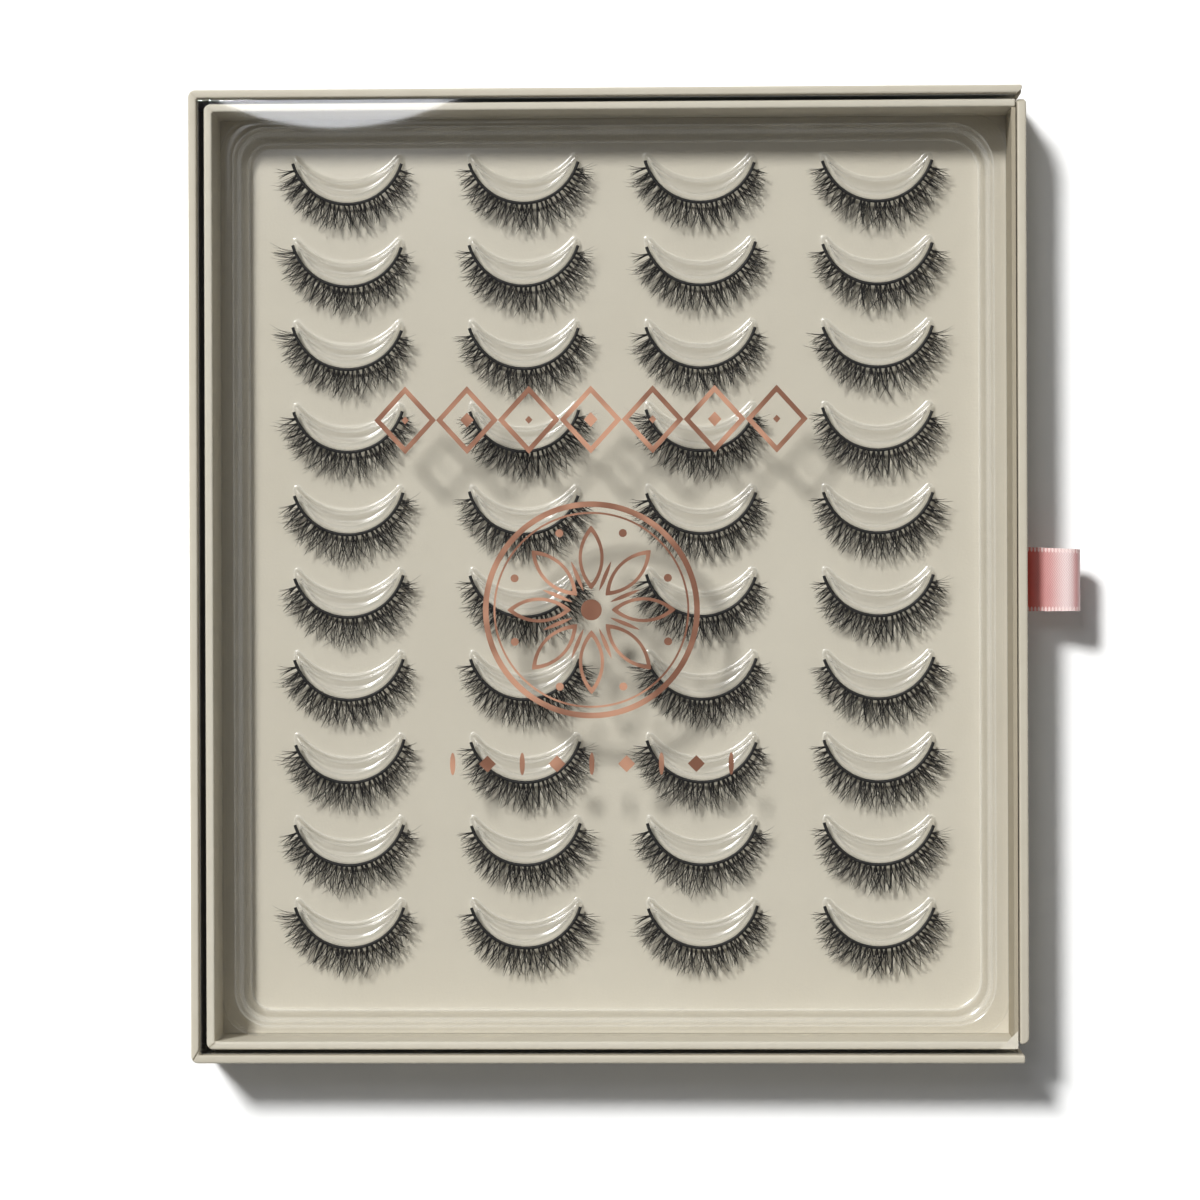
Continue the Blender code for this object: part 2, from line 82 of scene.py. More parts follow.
class Value:
    """One output of a shader's nodes, on which sums and products add Math nodes."""

    def __init__(self, shader, socket):
        self.shader = shader
        self.socket = socket

    def __add__(self, other):
        return self.shader.maths("ADD", self, other)

    def __sub__(self, other):
        return self.shader.maths("SUBTRACT", self, other)

    def __rsub__(self, other):
        return self.shader.maths("SUBTRACT", other, self)

    def __mul__(self, other):
        return self.shader.maths("MULTIPLY", self, other)

    def __pow__(self, other):
        return self.shader.maths("POWER", self, other)

    __radd__ = __add__
    __rmul__ = __mul__


class Shader:
    """The nodes of one material or world, each made by the method node."""

    def __init__(self, owner):
        owner.use_nodes = True
        self.owner = owner
        self.tree = owner.node_tree
        self.tree.nodes.clear()

    def node(self, kind, settings=None, values=None, output=0):
        """Adds a node: its settings first, then a value or a link for each socket."""
        made = self.tree.nodes.new("ShaderNode" + kind)
        for name, setting in (settings or {}).items():
            setattr(made, name, setting)
        for name, value in (values or {}).items():
            if isinstance(value, Value):
                self.tree.links.new(value.socket, made.inputs[name])
            else:
                made.inputs[name].default_value = value
        return Value(self, made.outputs[output] if len(made.outputs) else None)

    def maths(self, operation, *terms):
        return self.node("Math", {"operation": operation}, dict(enumerate(terms)))

    def place(self):
        """Object coordinates, which are metres in the box's own frame."""
        return self.node("TexCoord", output="Object")

    def part_of(self, vector, axis):
        return self.node("SeparateXYZ", values={0: vector}, output=axis)

    def noise(self, size, detail=3, stretch=(1, 1, 1)):
        """Smooth noise from 0 to 1 whose spots are about size across, drawn out along the axes."""
        scale = [1 / (size * share) for share in stretch]
        place = self.node("Mapping", values={"Vector": self.place(), "Scale": scale})
        return self.node("TexNoise", values={"Vector": place, "Scale": 1, "Detail": detail})

    def blend(self, share, first, second):
        """From the first colour to the second by share."""
        return self.node("Mix", {"data_type": "RGBA"}, {0: share, 6: first, 7: second}, output=2)

    def step(self, value, low, high):
        """0 below low and 1 above high, with a smooth rise between them."""
        values = {"Value": value, "From Min": low, "From Max": high}
        return self.node("MapRange", {"interpolation_type": "SMOOTHSTEP"}, values)

    def bump(self, height, depth):
        """A normal for a relief of the given depth, in metres."""
        return self.node("Bump", values={"Height": height, "Distance": depth, "Strength": 1})

    def finish(self, surface, kind="OutputMaterial"):
        self.node(kind, values={"Surface": surface})
        return self.owner


def new_shader(name):
    return Shader(bpy.data.materials.new(name))


def white_table():
    shader = new_shader("white_table")
    colour = shader.blend(shader.noise(FLOOR_CLOUD), srgb(FLOOR_WHITE), srgb(FLOOR_SHADE))
    values = {"Base Color": colour, "Roughness": 0.9, "Specular IOR Level": 0.1}
    return shader.finish(shader.node("BsdfPrincipled", values=values))


bpy.ops.mesh.primitive_plane_add(size=FLOOR_SIZE, location=(0, 0, -FLOOR_DROP))
floor = bpy.context.active_object
floor.name = "white_floor"
floor.data.materials.append(white_table())
bpy.ops.object.transform_apply(location=True)


# Studio light. A soft key lamp high on the upper left, a round lamp near the lens whose mirror
# image lies across the window's upper left corner, and a white room that is dark overhead.
KEY_WAY = Vector((0.45, -0.59, -1))
KEY_STRENGTH = 3.75
KEY_SPREAD = math.radians(10.5)
ROUND_LAMP_PLACE = (-0.209, 0.461, 1.525)
ROUND_LAMP_WIDTH = 0.336
ROUND_LAMP_POWER = 1.7
ROUND_LAMP_TONE = (0.93, 0.95, 1)
ROOM_FILL = 0.13
ROOM_CEILING = 0.05
CEILING_EDGE = (0.72, 0.92)


def white_room(world):
    shader = Shader(world)
    height = shader.part_of(shader.node("TexCoord", output="Generated"), "Z")
    seen = 1 - shader.step(height, *CEILING_EDGE) * (1 - ROOM_CEILING)
    direct = shader.node("LightPath", output="Is Camera Ray")
    for ray in ("Is Glossy Ray", "Is Transmission Ray"):
        direct = shader.maths("MAXIMUM", direct, shader.node("LightPath", output=ray))
    strength = ROOM_FILL + direct * (seen - ROOM_FILL)
    glow = shader.node("Background", values={"Color": (1, 1, 1, 1), "Strength": strength})
    shader.finish(glow, "OutputWorld")


bpy.context.scene.world = bpy.data.worlds.new("white_room")
white_room(bpy.context.scene.world)
bpy.ops.object.light_add(type="SUN", rotation=KEY_WAY.to_track_quat("-Z", "Y").to_euler())
key_lamp = bpy.context.active_object
key_lamp.data.energy = KEY_STRENGTH
key_lamp.data.angle = KEY_SPREAD
bpy.ops.object.light_add(type="AREA", location=ROUND_LAMP_PLACE)
round_lamp = bpy.context.active_object
round_lamp.data.shape = "DISK"
round_lamp.data.size = ROUND_LAMP_WIDTH
round_lamp.data.energy = ROUND_LAMP_POWER
round_lamp.data.color = ROUND_LAMP_TONE


# Sleeve walls. Two millimetre greyboard under greige paper, which is glued round the boards in
# one piece: it turns over their upper edges, and meets in a mitre at each back corner.
SLEEVE_BOARD = 0.002
WALL_CORNER = 0.0017
WALL_EDGE = 0.0005
FLAT_AREA = 0.0003
SEAM_LONG = 0.0085
SEAM_WIDE = 0.00028
SEAM_DEEP = 0.0004
SLEEVE_SEAMS = (math.radians(-45), math.radians(60))
MITRE_SIZE = 0.0017
MITRE_DEEP = 0.0035
MITRE_PAST = 0.4
MITRE_IN = 0.3
GREIGE = (188, 181, 164)
GREIGE_DEEP = (179, 171, 153)
GREIGE_WORN = (199, 193, 178)
MOTTLE_SIZE = 0.012
FIBRE_SIZE = 0.0005
FIBRE_STRETCH = (3, 1, 1)
RUB_HIGH = 0.0006
RUB_SPOT = 0.004
RUB_SHARE = 0.6
PAPER_RELIEF = 0.00006


def alone(piece):
    """Leaves a piece as the only one that is selected, and active."""
    bpy.ops.object.select_all(action="DESELECT")
    piece.select_set(True)
    bpy.context.view_layer.objects.active = piece


def edit(piece, mode="FACE"):
    """Opens a piece in edit mode with nothing selected."""
    alone(piece)
    bpy.ops.object.mode_set(mode="EDIT")
    bpy.ops.mesh.select_mode(type=mode)
    bpy.ops.mesh.select_all(action="DESELECT")
    return bmesh.from_edit_mesh(piece.data)


def pick(items, wanted):
    """Selects the vertices, edges or faces for which wanted is true."""
    for item in items:
        if wanted(item):
            item.select_set(True)


def leave_edit():
    bpy.ops.object.mode_set(mode="OBJECT")


def box_between(name, low, high):
    """A cube primitive drawn out between two corners."""
    size = [b - a for a, b in zip(low, high)]
    centre = [(a + b) / 2 for a, b in zip(low, high)]
    bpy.ops.mesh.primitive_cube_add(size=1, location=centre, scale=size)
    piece = bpy.context.active_object
    piece.name = name
    bpy.ops.object.transform_apply(location=True, rotation=True, scale=True)
    return piece


def finish_with(piece, kind, **settings):
    """Adds a modifier and applies it."""
    alone(piece)
    modifier = piece.modifiers.new(kind.lower(), kind)
    for name, value in settings.items():
        setattr(modifier, name, value)
    bpy.ops.object.modifier_apply(modifier=modifier.name)


def smooth(piece, angle=40):
    """Shades a piece smooth up to an angle, but leaves its large faces quite flat."""
    alone(piece)
    bpy.ops.object.shade_smooth_by_angle(angle=math.radians(angle))
    for face in piece.data.polygons:
        if face.area > FLAT_AREA:
            face.use_smooth = False


def upright(edge, x, y=None):
    """True for an upright edge that stands at x, and at plus or minus y where that is given."""
    first, last = (vert.co for vert in edge.verts)
    level = abs(first.z - last.z) < abs(first.x - last.x) + abs(first.y - last.y) + WALL_EDGE
    near = abs(first.x - x) < WALL_EDGE and (y is None or abs(abs(first.y) - y) < WALL_EDGE)
    return near and not level


def dress(piece, material, body, nodes=()):
    """Gives a piece its finish, its body and the CAD nodes that it stands for."""
    piece.data.materials.clear()
    piece.data.materials.append(material)
    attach(piece, body)
    if nodes:
        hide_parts(*nodes)


def wrap_paper(name, light, deep, worn, top):
    """Matt greige paper: faint mottling and fibres, and a paler rub along the upper edges."""
    shader = new_shader(name)
    mottle = shader.noise(MOTTLE_SIZE, 4)
    fibres = shader.noise(FIBRE_SIZE, 5, FIBRE_STRETCH)
    height = shader.part_of(shader.place(), "Z")
    rub = shader.step(height, top - RUB_HIGH, top) * shader.noise(RUB_SPOT, 5) * RUB_SHARE
    colour = shader.blend(mottle * 0.8 + fibres * 0.25, srgb(deep), srgb(light))
    colour = shader.blend(rub, colour, srgb(worn))
    values = {
        "Base Color": colour,
        "Roughness": 0.5 + fibres * 0.2,
        "Specular IOR Level": 0.35,
        "Normal": shader.bump(fibres + mottle * 0.6, PAPER_RELIEF),
    }
    return shader.finish(shader.node("BsdfPrincipled", values=values))


def combine(piece, low, high, turn=0, place=(0, 0, 0), operation="DIFFERENCE"):
    """Cuts a box out of a piece, or unites the two. The box may be turned and moved to a place."""
    block = box_between("block", low, high)
    block.data.transform(Matrix.Rotation(turn, 4, "Z"))
    block.data.transform(Matrix.Translation(place))
    finish_with(piece, "BOOLEAN", operation=operation, object=block)
    bpy.data.objects.remove(block)


def cut_seam(walls, corner, turn, top):
    """A fine slit in the paper where its two ends meet over a corner."""
    half = (SEAM_LONG / 2, SEAM_WIDE / 2, SEAM_DEEP)
    combine(walls, [-size for size in half], half, turn, (*corner, top))


def bent_walls(name, low, high, board, seams):
    """Back and side walls as one wrapped strip, round the two back corners and open in front."""
    walls = box_between(name, low, high)
    bm = edit(walls)
    pick(bm.faces, lambda face: abs(face.normal.z) > 0.5 or face.normal.x > 0.5)
    bpy.ops.mesh.delete(type="FACE")
    leave_edit()
    finish_with(walls, "SOLIDIFY", thickness=board, offset=-1, use_even_offset=True)
    bm = edit(walls, "EDGE")
    pick(bm.edges, lambda edge: upright(edge, low[0], high[1]))
    bpy.ops.mesh.bevel(offset=WALL_CORNER, segments=6, affect="EDGES")
    leave_edit()
    finish_with(walls, "BEVEL", width=WALL_EDGE, segments=3, limit_method="ANGLE")
    cut_seam(walls, (low[0], high[1]), seams[0], high[2])
    cut_seam(walls, (low[0], low[1]), seams[1], high[2])
    smooth(walls)
    return walls


def cut_mitre(walls, corner):
    """Cuts the open end of the upper wall off slantwise, as its folded paper is."""
    half = (MITRE_SIZE, MITRE_SIZE, MITRE_DEEP)
    combine(walls, [-size for size in half], half, math.radians(45), corner)


wall_low, wall_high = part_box("sleeve_back_wall")
side_low, side_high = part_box("sleeve_upper_wall")
sleeve_low = (wall_low.x, -side_high.y, wall_low.z)
sleeve_high = (side_high.x, side_high.y, side_high.z)
sleeve_paper = wrap_paper("sleeve_wrap_paper", GREIGE, GREIGE_DEEP, GREIGE_WORN, sleeve_high[2])
sleeve_walls = bent_walls("sleeve_walls", sleeve_low, sleeve_high, SLEEVE_BOARD, SLEEVE_SEAMS)
mitre_x = sleeve_high[0] + MITRE_SIZE * MITRE_PAST
mitre_y = sleeve_high[1] - SLEEVE_BOARD - MITRE_SIZE * MITRE_IN
cut_mitre(sleeve_walls, (mitre_x, mitre_y, sleeve_high[2]))
dress(sleeve_walls, sleeve_paper, "sleeve",
      ("sleeve_back_wall", "sleeve_upper_wall", "sleeve_lower_wall"))


# Sleeve base. The same board under the same paper, glued flush between the three walls. The
# box rests on it.
def dress_node(name, material):
    """Gives a CAD node that stays as it is a finish of its own."""
    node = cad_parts[name]
    node.data.materials.clear()
    node.data.materials.append(material)


dress_node("sleeve_base_board", sleeve_paper)


# Window. A stiff clear sheet, 0.3 mm thick, scored and folded down along three sides and glued
# to the inside of the sleeve's walls. Its fourth side is free, so that the drawer can pass.
WINDOW_SHEET = 0.0003
WINDOW_FOLD = 0.0003
CLEAR_TINT = (0.995, 0.996, 0.994, 1)
BEND_RISE = (0.04, 0.15)
BEND_FALL = (0.35, 0.65)
WALL_RISE = (0.5, 0.85)
WALL_TINT = (0.6, 0.59, 0.56, 1)
MILK_WHITE = (0.9, 0.89, 0.86, 1)
DUST_SIZE = 0.0011
DUST_RISE = (0.66, 0.8)


def clear_plastic(name, tint, dust, gloss, face_mirror, milk, loss, wave_size, wave_depth):
    """Clear plastic: light goes straight through, each face mirrors as its angle asks, a wall takes
    some light away, and the plastic is a little milky where it has been drawn round a bend."""
    shader = new_shader(name)
    normal = shader.bump(shader.noise(wave_size, 2), wave_depth)
    through = shader.node("BsdfTransparent", values={"Color": tint})
    values = {"Color": (1, 1, 1, 1), "Roughness": gloss, "Normal": normal}
    mirror = shader.node("BsdfGlossy", values=values)
    grazing = shader.node("LayerWeight", values={"Blend": 0.5, "Normal": normal}, output="Facing")
    share = face_mirror + (grazing ** 5) * (1 - face_mirror)
    sheet = shader.node("MixShader", values={0: share, 1: through, 2: mirror})
    dimmer = shader.node("BsdfTransparent", values={"Color": WALL_TINT})
    upright_share = shader.part_of(shader.node("TexCoord", output="Normal"), "Z")
    steep = 1 - shader.maths("ABSOLUTE", upright_share)
    wall = shader.step(steep, *WALL_RISE)
    sheet = shader.node("MixShader", values={0: wall * loss, 1: sheet, 2: dimmer})
    bend = shader.step(steep, *BEND_RISE) * (1 - shader.step(steep, *BEND_FALL))
    cloudy = shader.step(shader.noise(DUST_SIZE, 4), *DUST_RISE) * dust + bend * milk
    cloud = shader.node("BsdfDiffuse", values={"Color": MILK_WHITE})
    return shader.finish(shader.node("MixShader", values={0: cloudy, 1: sheet, 2: cloud}))


def make_window():
    window = box_between("window_film", *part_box("window_sheet"))
    bm = edit(window)
    pick(bm.faces, lambda face: face.normal.z < -0.5 or face.normal.x > 0.5)
    bpy.ops.mesh.delete(type="FACE")
    bpy.ops.mesh.select_mode(type="EDGE")
    bm = bmesh.from_edit_mesh(window.data)
    pick(bm.edges, lambda edge: len(edge.link_faces) == 2)
    bpy.ops.mesh.bevel(offset=WINDOW_FOLD, segments=5, affect="EDGES")
    leave_edit()
    finish_with(window, "SOLIDIFY", thickness=WINDOW_SHEET, offset=-1, use_even_offset=True)
    smooth(window)
    return window


window_clear = clear_plastic(
    "window_plastic", CLEAR_TINT, dust=0.03, gloss=0.02, face_mirror=0.042, milk=0.1, loss=0,
    wave_size=0.06, wave_depth=0.000004
)
dress(make_window(), window_clear, "sleeve", ("window_sheet",))


# Foil print. Rose-gold foil, hot stamped on the outside of the window: a frieze of lozenges, a
# roundel with a rosette of petals, and a row of bars and dots. It is a few hundredths thick.
FOIL_THICK = 0.00003
FOIL_LIFT = 0.00002
FOIL_MIDDLE = -0.0035
FRIEZE_Y = 0.0385
FRIEZE_COUNT = 7
FRIEZE_WIDE = 0.0153
FRIEZE_TALL = 0.0168
FRIEZE_LINE = 0.0012
FRIEZE_CORES = (0.12, 0.22)
LOZENGE_CORNERS = 4
ROUNDEL_Y = -0.0085
ROUNDEL_RINGS = ((0.0268, 0.0014), (0.0242, 0.0005))
PETALS = 8
PETAL_LONG = 0.0158
PETAL_WIDE = 0.0062
PETAL_START = 0.005
PETAL_LINE = 0.0008
PETAL_POINT = 0.8
PETAL_CORNERS = 36
SMALL_PETAL = (0.008, 0.001)
ROUNDEL_HUB = 0.0026
HUB_CORNERS = 32
RING_CORNERS = 128
BEAD = 0.001
BEAD_CORNERS = 16
BEAD_RING = 0.0205
ROW_Y = -0.0465
ROW_COUNT = 9
ROW_STEP = 0.0086
ROW_DOT = 0.0042
ROW_BAR = (0.0013, 0.0056)
BAR_CORNERS = 20
ROSE_GOLD = (178, 134, 109)
ROSE_GOLD_DEEP = (124, 84, 65)
FOIL_CLOUD = 0.016
CLOUD_RISE = (0.36, 0.66)
FOIL_GRAIN = 0.0006


def foil_shape(corners, x, y, wide, tall):
    """A filled polygon from the circle primitive, drawn out in the plane of the foil."""
    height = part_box("window_sheet")[1].z + FOIL_LIFT
    place = (x, y, height)
    bpy.ops.mesh.primitive_circle_add(vertices=corners, radius=0.5, fill_type="NGON", location=place)
    shape = bpy.context.active_object
    shape.scale = (wide, tall, 1)
    bpy.ops.object.transform_apply(location=True, rotation=True, scale=True)
    return shape


def outline(shape, line):
    """Leaves only a line of even width along the edge of a filled shape."""
    edit(shape)
    bpy.ops.mesh.select_all(action="SELECT")
    bpy.ops.mesh.inset(thickness=line, use_even_offset=True)
    bpy.ops.mesh.delete(type="FACE")
    leave_edit()
    return shape


def loft(name, rings):
    """Extrudes a closed loop from ring to ring, and lays each of its points on its new place."""
    bpy.ops.mesh.primitive_circle_add(vertices=len(rings[0]))
    piece = bpy.context.active_object
    piece.name = name
    for vert, point in zip(piece.data.vertices, rings[0]):
        vert.co = point
    edit(piece, "EDGE")
    bpy.ops.mesh.select_all(action="SELECT")
    for before, after in zip(rings, rings[1:]):
        bpy.ops.mesh.extrude_region()
        places = KDTree(len(before))
        for place, point in enumerate(before):
            places.insert(point, place)
        places.balance()
        bm = bmesh.from_edit_mesh(piece.data)
        for vert in bm.verts:
            if vert.select:
                vert.co = after[places.find(vert.co)[1]]
    bpy.ops.mesh.select_all(action="SELECT")
    bpy.ops.mesh.remove_doubles(threshold=0.000001)
    leave_edit()
    return piece


def petal(turn, long, wide, start=PETAL_START):
    """A pointed petal that starts near the roundel's hub and points outwards."""
    shape = foil_shape(PETAL_CORNERS, 0, 0, long, wide)
    for vert in shape.data.vertices:
        vert.co.y *= abs(2 * vert.co.y / wide) ** PETAL_POINT
    shape.data.transform(Matrix.Translation((start + long / 2, 0, 0)))
    shape.data.transform(Matrix.Rotation(turn, 4, "Z"))
    shape.data.transform(Matrix.Translation((FOIL_MIDDLE, ROUNDEL_Y, 0)))
    return shape


def petal_outline(turn, long, wide, line):
    """The line between a petal and a smaller one inside it."""
    outer = petal(turn, long, wide)
    petals = (outer, petal(turn, long - 4 * line, wide - 2 * line, PETAL_START + 2 * line))
    strip = loft("petal", [[vert.co.copy() for vert in shape.data.vertices] for shape in petals])
    for shape in petals:
        bpy.data.objects.remove(shape)
    if strip.data.polygons[0].normal.z < 0:
        strip.data.flip_normals()
    return strip


def frieze():
    shapes = []
    for count in range(FRIEZE_COUNT):
        x = FOIL_MIDDLE + (count - (FRIEZE_COUNT - 1) / 2) * FRIEZE_WIDE
        core = FRIEZE_CORES[count % 2]
        lozenge = foil_shape(LOZENGE_CORNERS, x, FRIEZE_Y, FRIEZE_WIDE, FRIEZE_TALL)
        shapes.append(outline(lozenge, FRIEZE_LINE))
        shapes.append(foil_shape(LOZENGE_CORNERS, x, FRIEZE_Y, FRIEZE_WIDE * core, FRIEZE_TALL * core))
    return shapes


def roundel():
    shapes = [foil_shape(HUB_CORNERS, FOIL_MIDDLE, ROUNDEL_Y, 2 * ROUNDEL_HUB, 2 * ROUNDEL_HUB)]
    for radius, line in ROUNDEL_RINGS:
        disc = foil_shape(RING_CORNERS, FOIL_MIDDLE, ROUNDEL_Y, 2 * radius, 2 * radius)
        shapes.append(outline(disc, line))
    for count in range(2 * PETALS):
        turn = math.pi * count / PETALS
        if count % 2 == 0:
            shapes.append(petal_outline(turn, PETAL_LONG, PETAL_WIDE, PETAL_LINE))
        else:
            shapes.append(petal(turn, *SMALL_PETAL))
            x = FOIL_MIDDLE + BEAD_RING * math.cos(turn)
            y = ROUNDEL_Y + BEAD_RING * math.sin(turn)
            shapes.append(foil_shape(BEAD_CORNERS, x, y, 2 * BEAD, 2 * BEAD))
    return shapes


def bead_row():
    shapes = []
    for count in range(ROW_COUNT):
        x = FOIL_MIDDLE + (count - (ROW_COUNT - 1) / 2) * ROW_STEP
        if count % 2:
            shapes.append(foil_shape(LOZENGE_CORNERS, x, ROW_Y, ROW_DOT, ROW_DOT))
        else:
            shapes.append(foil_shape(BAR_CORNERS, x, ROW_Y, *ROW_BAR))
    return shapes


def rose_gold_foil():
    """Hot-stamped foil: a satin metal film with a faint cloud in its tone."""
    shader = new_shader("rose_gold_foil")
    cloud = shader.step(shader.noise(FOIL_CLOUD, 2), *CLOUD_RISE)
    colour = shader.blend(cloud, srgb(ROSE_GOLD_DEEP), srgb(ROSE_GOLD))
    values = {
        "Base Color": colour,
        "Metallic": 0.55,
        "Roughness": 0.42 + cloud * 0.12,
        "Normal": shader.bump(shader.noise(FOIL_GRAIN, 2), 0.00001),
    }
    return shader.finish(shader.node("BsdfPrincipled", values=values))


def join(name, shapes):
    """Joins shapes to one named piece."""
    bpy.ops.object.select_all(action="DESELECT")
    for shape in shapes:
        shape.select_set(True)
    bpy.context.view_layer.objects.active = shapes[0]
    bpy.ops.object.join()
    shapes[0].name = name
    return shapes[0]


foil = rose_gold_foil()
for foil_name, foil_shapes in (("foil_frieze", frieze), ("foil_roundel", roundel), ("foil_row", bead_row)):
    foil_piece = join(foil_name, foil_shapes())
    finish_with(foil_piece, "SOLIDIFY", thickness=FOIL_THICK, offset=1)
    dress(foil_piece, foil, "sleeve")


# Drawer walls. Board like the sleeve's, 2 mm thick with its paper and low enough to clear the
# window. The paper turns down over the inner faces and meets in mitres at the back corners.
DRAWER_BOARD = 0.002
DRAWER_SEAMS = (math.radians(-45), math.radians(40))
DRAWER_GREIGE = (207, 201, 186)
DRAWER_GREIGE_DEEP = (199, 192, 175)
DRAWER_WORN = (217, 211, 197)
CORNER_FOLD = 0.0044
FOLD_INSET = (0.0001, 0.0002)
FOLD_THICK = 0.00012


def make_corner_fold(corner):
    """The paper's turned-in corner at the open end of the lower wall: a triangle laid on top."""
    x, y, z = corner
    bpy.ops.mesh.primitive_circle_add(vertices=3, fill_type="NGON")
    fold = bpy.context.active_object
    fold.name = "drawer_corner_fold"
    corners = ((x, y, z), (x, y + CORNER_FOLD, z), (x - CORNER_FOLD, y, z))
    for vert, point in zip(fold.data.vertices, corners):
        vert.co = point
    if fold.data.polygons[0].normal.z < 0:
        fold.data.flip_normals()
    finish_with(fold, "SOLIDIFY", thickness=FOLD_THICK, offset=1)
    return fold


inner_low, inner_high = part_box("drawer_back_wall")
wing_low, wing_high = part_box("drawer_upper_wall")
drawer_low = (inner_low.x, -wing_high.y, inner_low.z)
drawer_high = (wing_high.x, wing_high.y, wing_high.z)
drawer_top = drawer_high[2]
drawer_paper = wrap_paper("drawer_wrap_paper", DRAWER_GREIGE, DRAWER_GREIGE_DEEP, DRAWER_WORN, drawer_top)
drawer_walls = bent_walls("drawer_walls", drawer_low, drawer_high, DRAWER_BOARD, DRAWER_SEAMS)
dress(drawer_walls, drawer_paper, "drawer",
      ("drawer_back_wall", "drawer_upper_wall", "drawer_lower_wall"))
fold_paper = wrap_paper("fold_wrap_paper", DRAWER_WORN, DRAWER_GREIGE, DRAWER_WORN, drawer_top)
fold_corner = (drawer_high[0] - FOLD_INSET[0], drawer_low[1] + FOLD_INSET[1], drawer_top)
dress(make_corner_fold(fold_corner), fold_paper, "drawer")


# Drawer base. The board that the drawer's walls stand round, papered underneath. It slides on the
# sleeve's base, and the card and the tray lie on it.
dress_node("drawer_base_board", drawer_paper)


# Front panel. A slightly thicker board with paper turned round all its edges. It closes the sleeve's
# open end, and a slit at half its height lets the ribbon through.
PANEL_CORNERS = (0.0017, 0.0006)
PANEL_ENDS = (-0.1158, 0.1172)
PANEL_NOTCH = (0.0009, 0.003)
PANEL_EDGE = 0.0005
RIBBON_WIDE = 0.016
RIBBON_SHIFT = -0.0012
SLIT_ROOM = 0.0003
SLIT_HALF = 0.00075
SLIT_PAST = 0.002


def make_panel():
    low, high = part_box("drawer_front_panel")
    low.y, high.y = PANEL_ENDS
    panel = box_between("front_panel", low, high)
    for end, corner in zip(PANEL_ENDS, PANEL_CORNERS):
        bm = edit(panel, "EDGE")
        pick(bm.edges, lambda edge: upright(edge, high.x) and edge.verts[0].co.y * end > 0)
        bpy.ops.mesh.bevel(offset=corner, segments=5, affect="EDGES")
        leave_edit()
    finish_with(panel, "BEVEL", width=PANEL_EDGE, segments=3, limit_method="ANGLE")
    combine(panel, (low.x - SLIT_PAST, high.y - PANEL_NOTCH[0], high.z - PANEL_NOTCH[1]),
            (high.x + SLIT_PAST, high.y + SLIT_PAST, high.z + SLIT_PAST))
    middle = (low.z + high.z) / 2
    reach = RIBBON_WIDE / 2 + SLIT_ROOM
    combine(panel, (low.x - SLIT_PAST, RIBBON_SHIFT - reach, middle - SLIT_HALF),
            (high.x + SLIT_PAST, RIBBON_SHIFT + reach, middle + SLIT_HALF))
    smooth(panel)
    return panel


panel_low, panel_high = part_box("drawer_front_panel")
panel_paper = wrap_paper("panel_wrap_paper", GREIGE, GREIGE_DEEP, GREIGE_WORN, panel_high.z)
dress(make_panel(), panel_paper, "drawer", ("drawer_front_panel",))


# Liner. A strip of uncoated card glued behind the front panel, over the ribbon's tails. Its upper
# edge is folded over towards the panel, and closes the gap behind the panel.
LIP_REACH = 0.001
LIP_CARD = 0.0004
LINER_DROP = 0.00005
LINER_GREY = (172, 163, 145)
LINER_GREY_DEEP = (162, 153, 134)
LINER_GRAIN = 0.0008
CARD_CLOUD = 0.03
CARD_RELIEF = 0.00004


def plain_card(name, light, deep, grain):
    """Uncoated card: warm grey with soft clouds and a fine tooth."""
    shader = new_shader(name)
    clouds = shader.noise(CARD_CLOUD)
    tooth = shader.noise(grain, 4)
    colour = shader.blend(clouds * 0.75 + tooth * 0.25, srgb(deep), srgb(light))
    values = {
        "Base Color": colour,
        "Roughness": 0.75 + tooth * 0.15,
        "Specular IOR Level": 0.2,
        "Normal": shader.bump(tooth, CARD_RELIEF),
    }
    return shader.finish(shader.node("BsdfPrincipled", values=values))


def make_liner():
    low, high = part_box("drawer_front_liner")
    top = high.z - LINER_DROP
    liner = box_between("front_liner", low, (high.x, high.y, top))
    combine(liner, (low.x + LIP_CARD / 2, low.y, top - LIP_CARD), (low.x + LIP_REACH, high.y, top),
            operation="UNION")
    return liner


liner_card = plain_card("liner_card", LINER_GREY, LINER_GREY_DEEP, LINER_GRAIN)
dress(make_liner(), liner_card, "drawer", ("drawer_front_liner",))


# Ribbon pull. One strip of rose satin ribbon with a picot edge, folded to a loop. Both ends go
# through the panel's slit and are glued flat behind it, one upwards and one downwards.
RIBBON_THICK = 0.00025
RIBBON_STEPS = 120
RIBBON_CROSS_STEPS = 10
TAIL_X = 0.10135
TAIL_ENDS = (0.0049, 0.0224)
LOOP_START = 0.1041
LOOP_REACH = 0.01365
LOOP_RISE = 0.0044
LOOP_NECK = 0.0003
LOOP_POINTS = 60
LOOP_DRIFT = 0.0007
ROSE = (200, 143, 140)
ROSE_DEEP = (168, 102, 100)
# Painted shade: the next colour is a deeper, redder rose laid on the loop next to the panel, where the
# panel's shadow falls.
ROSE_PAINTED_SHADE = (222, 78, 62)
# Painted highlight: the next colour is a pale band laid across the loop towards its far end.
ROSE_PAINTED_HIGHLIGHT = (222, 206, 204)
ROSE_PICOT = (232, 210, 206)
# Where the painted shade fades out, and where the painted highlight rises and falls, as distances out from
# the panel.
PAINTED_SHADE_REACH = (0.0012, 0.0056)
PAINTED_HIGHLIGHT_RISE = (0.0052, 0.0104)
PAINTED_HIGHLIGHT_FALL = (0.0112, 0.0129)
WEAVE = 0.0013
WEAVE_LEAN = 0.8
FLOAT_WAVES = 10400
THREAD_WAVES = 21000
PICOT_WAVES = 7000
PICOT_DEEP = 0.00022
RIM_WIDE = (0.0011, 0.0007)
SATIN_CLOUD = 0.004
SATIN_RELIEF = 0.000016


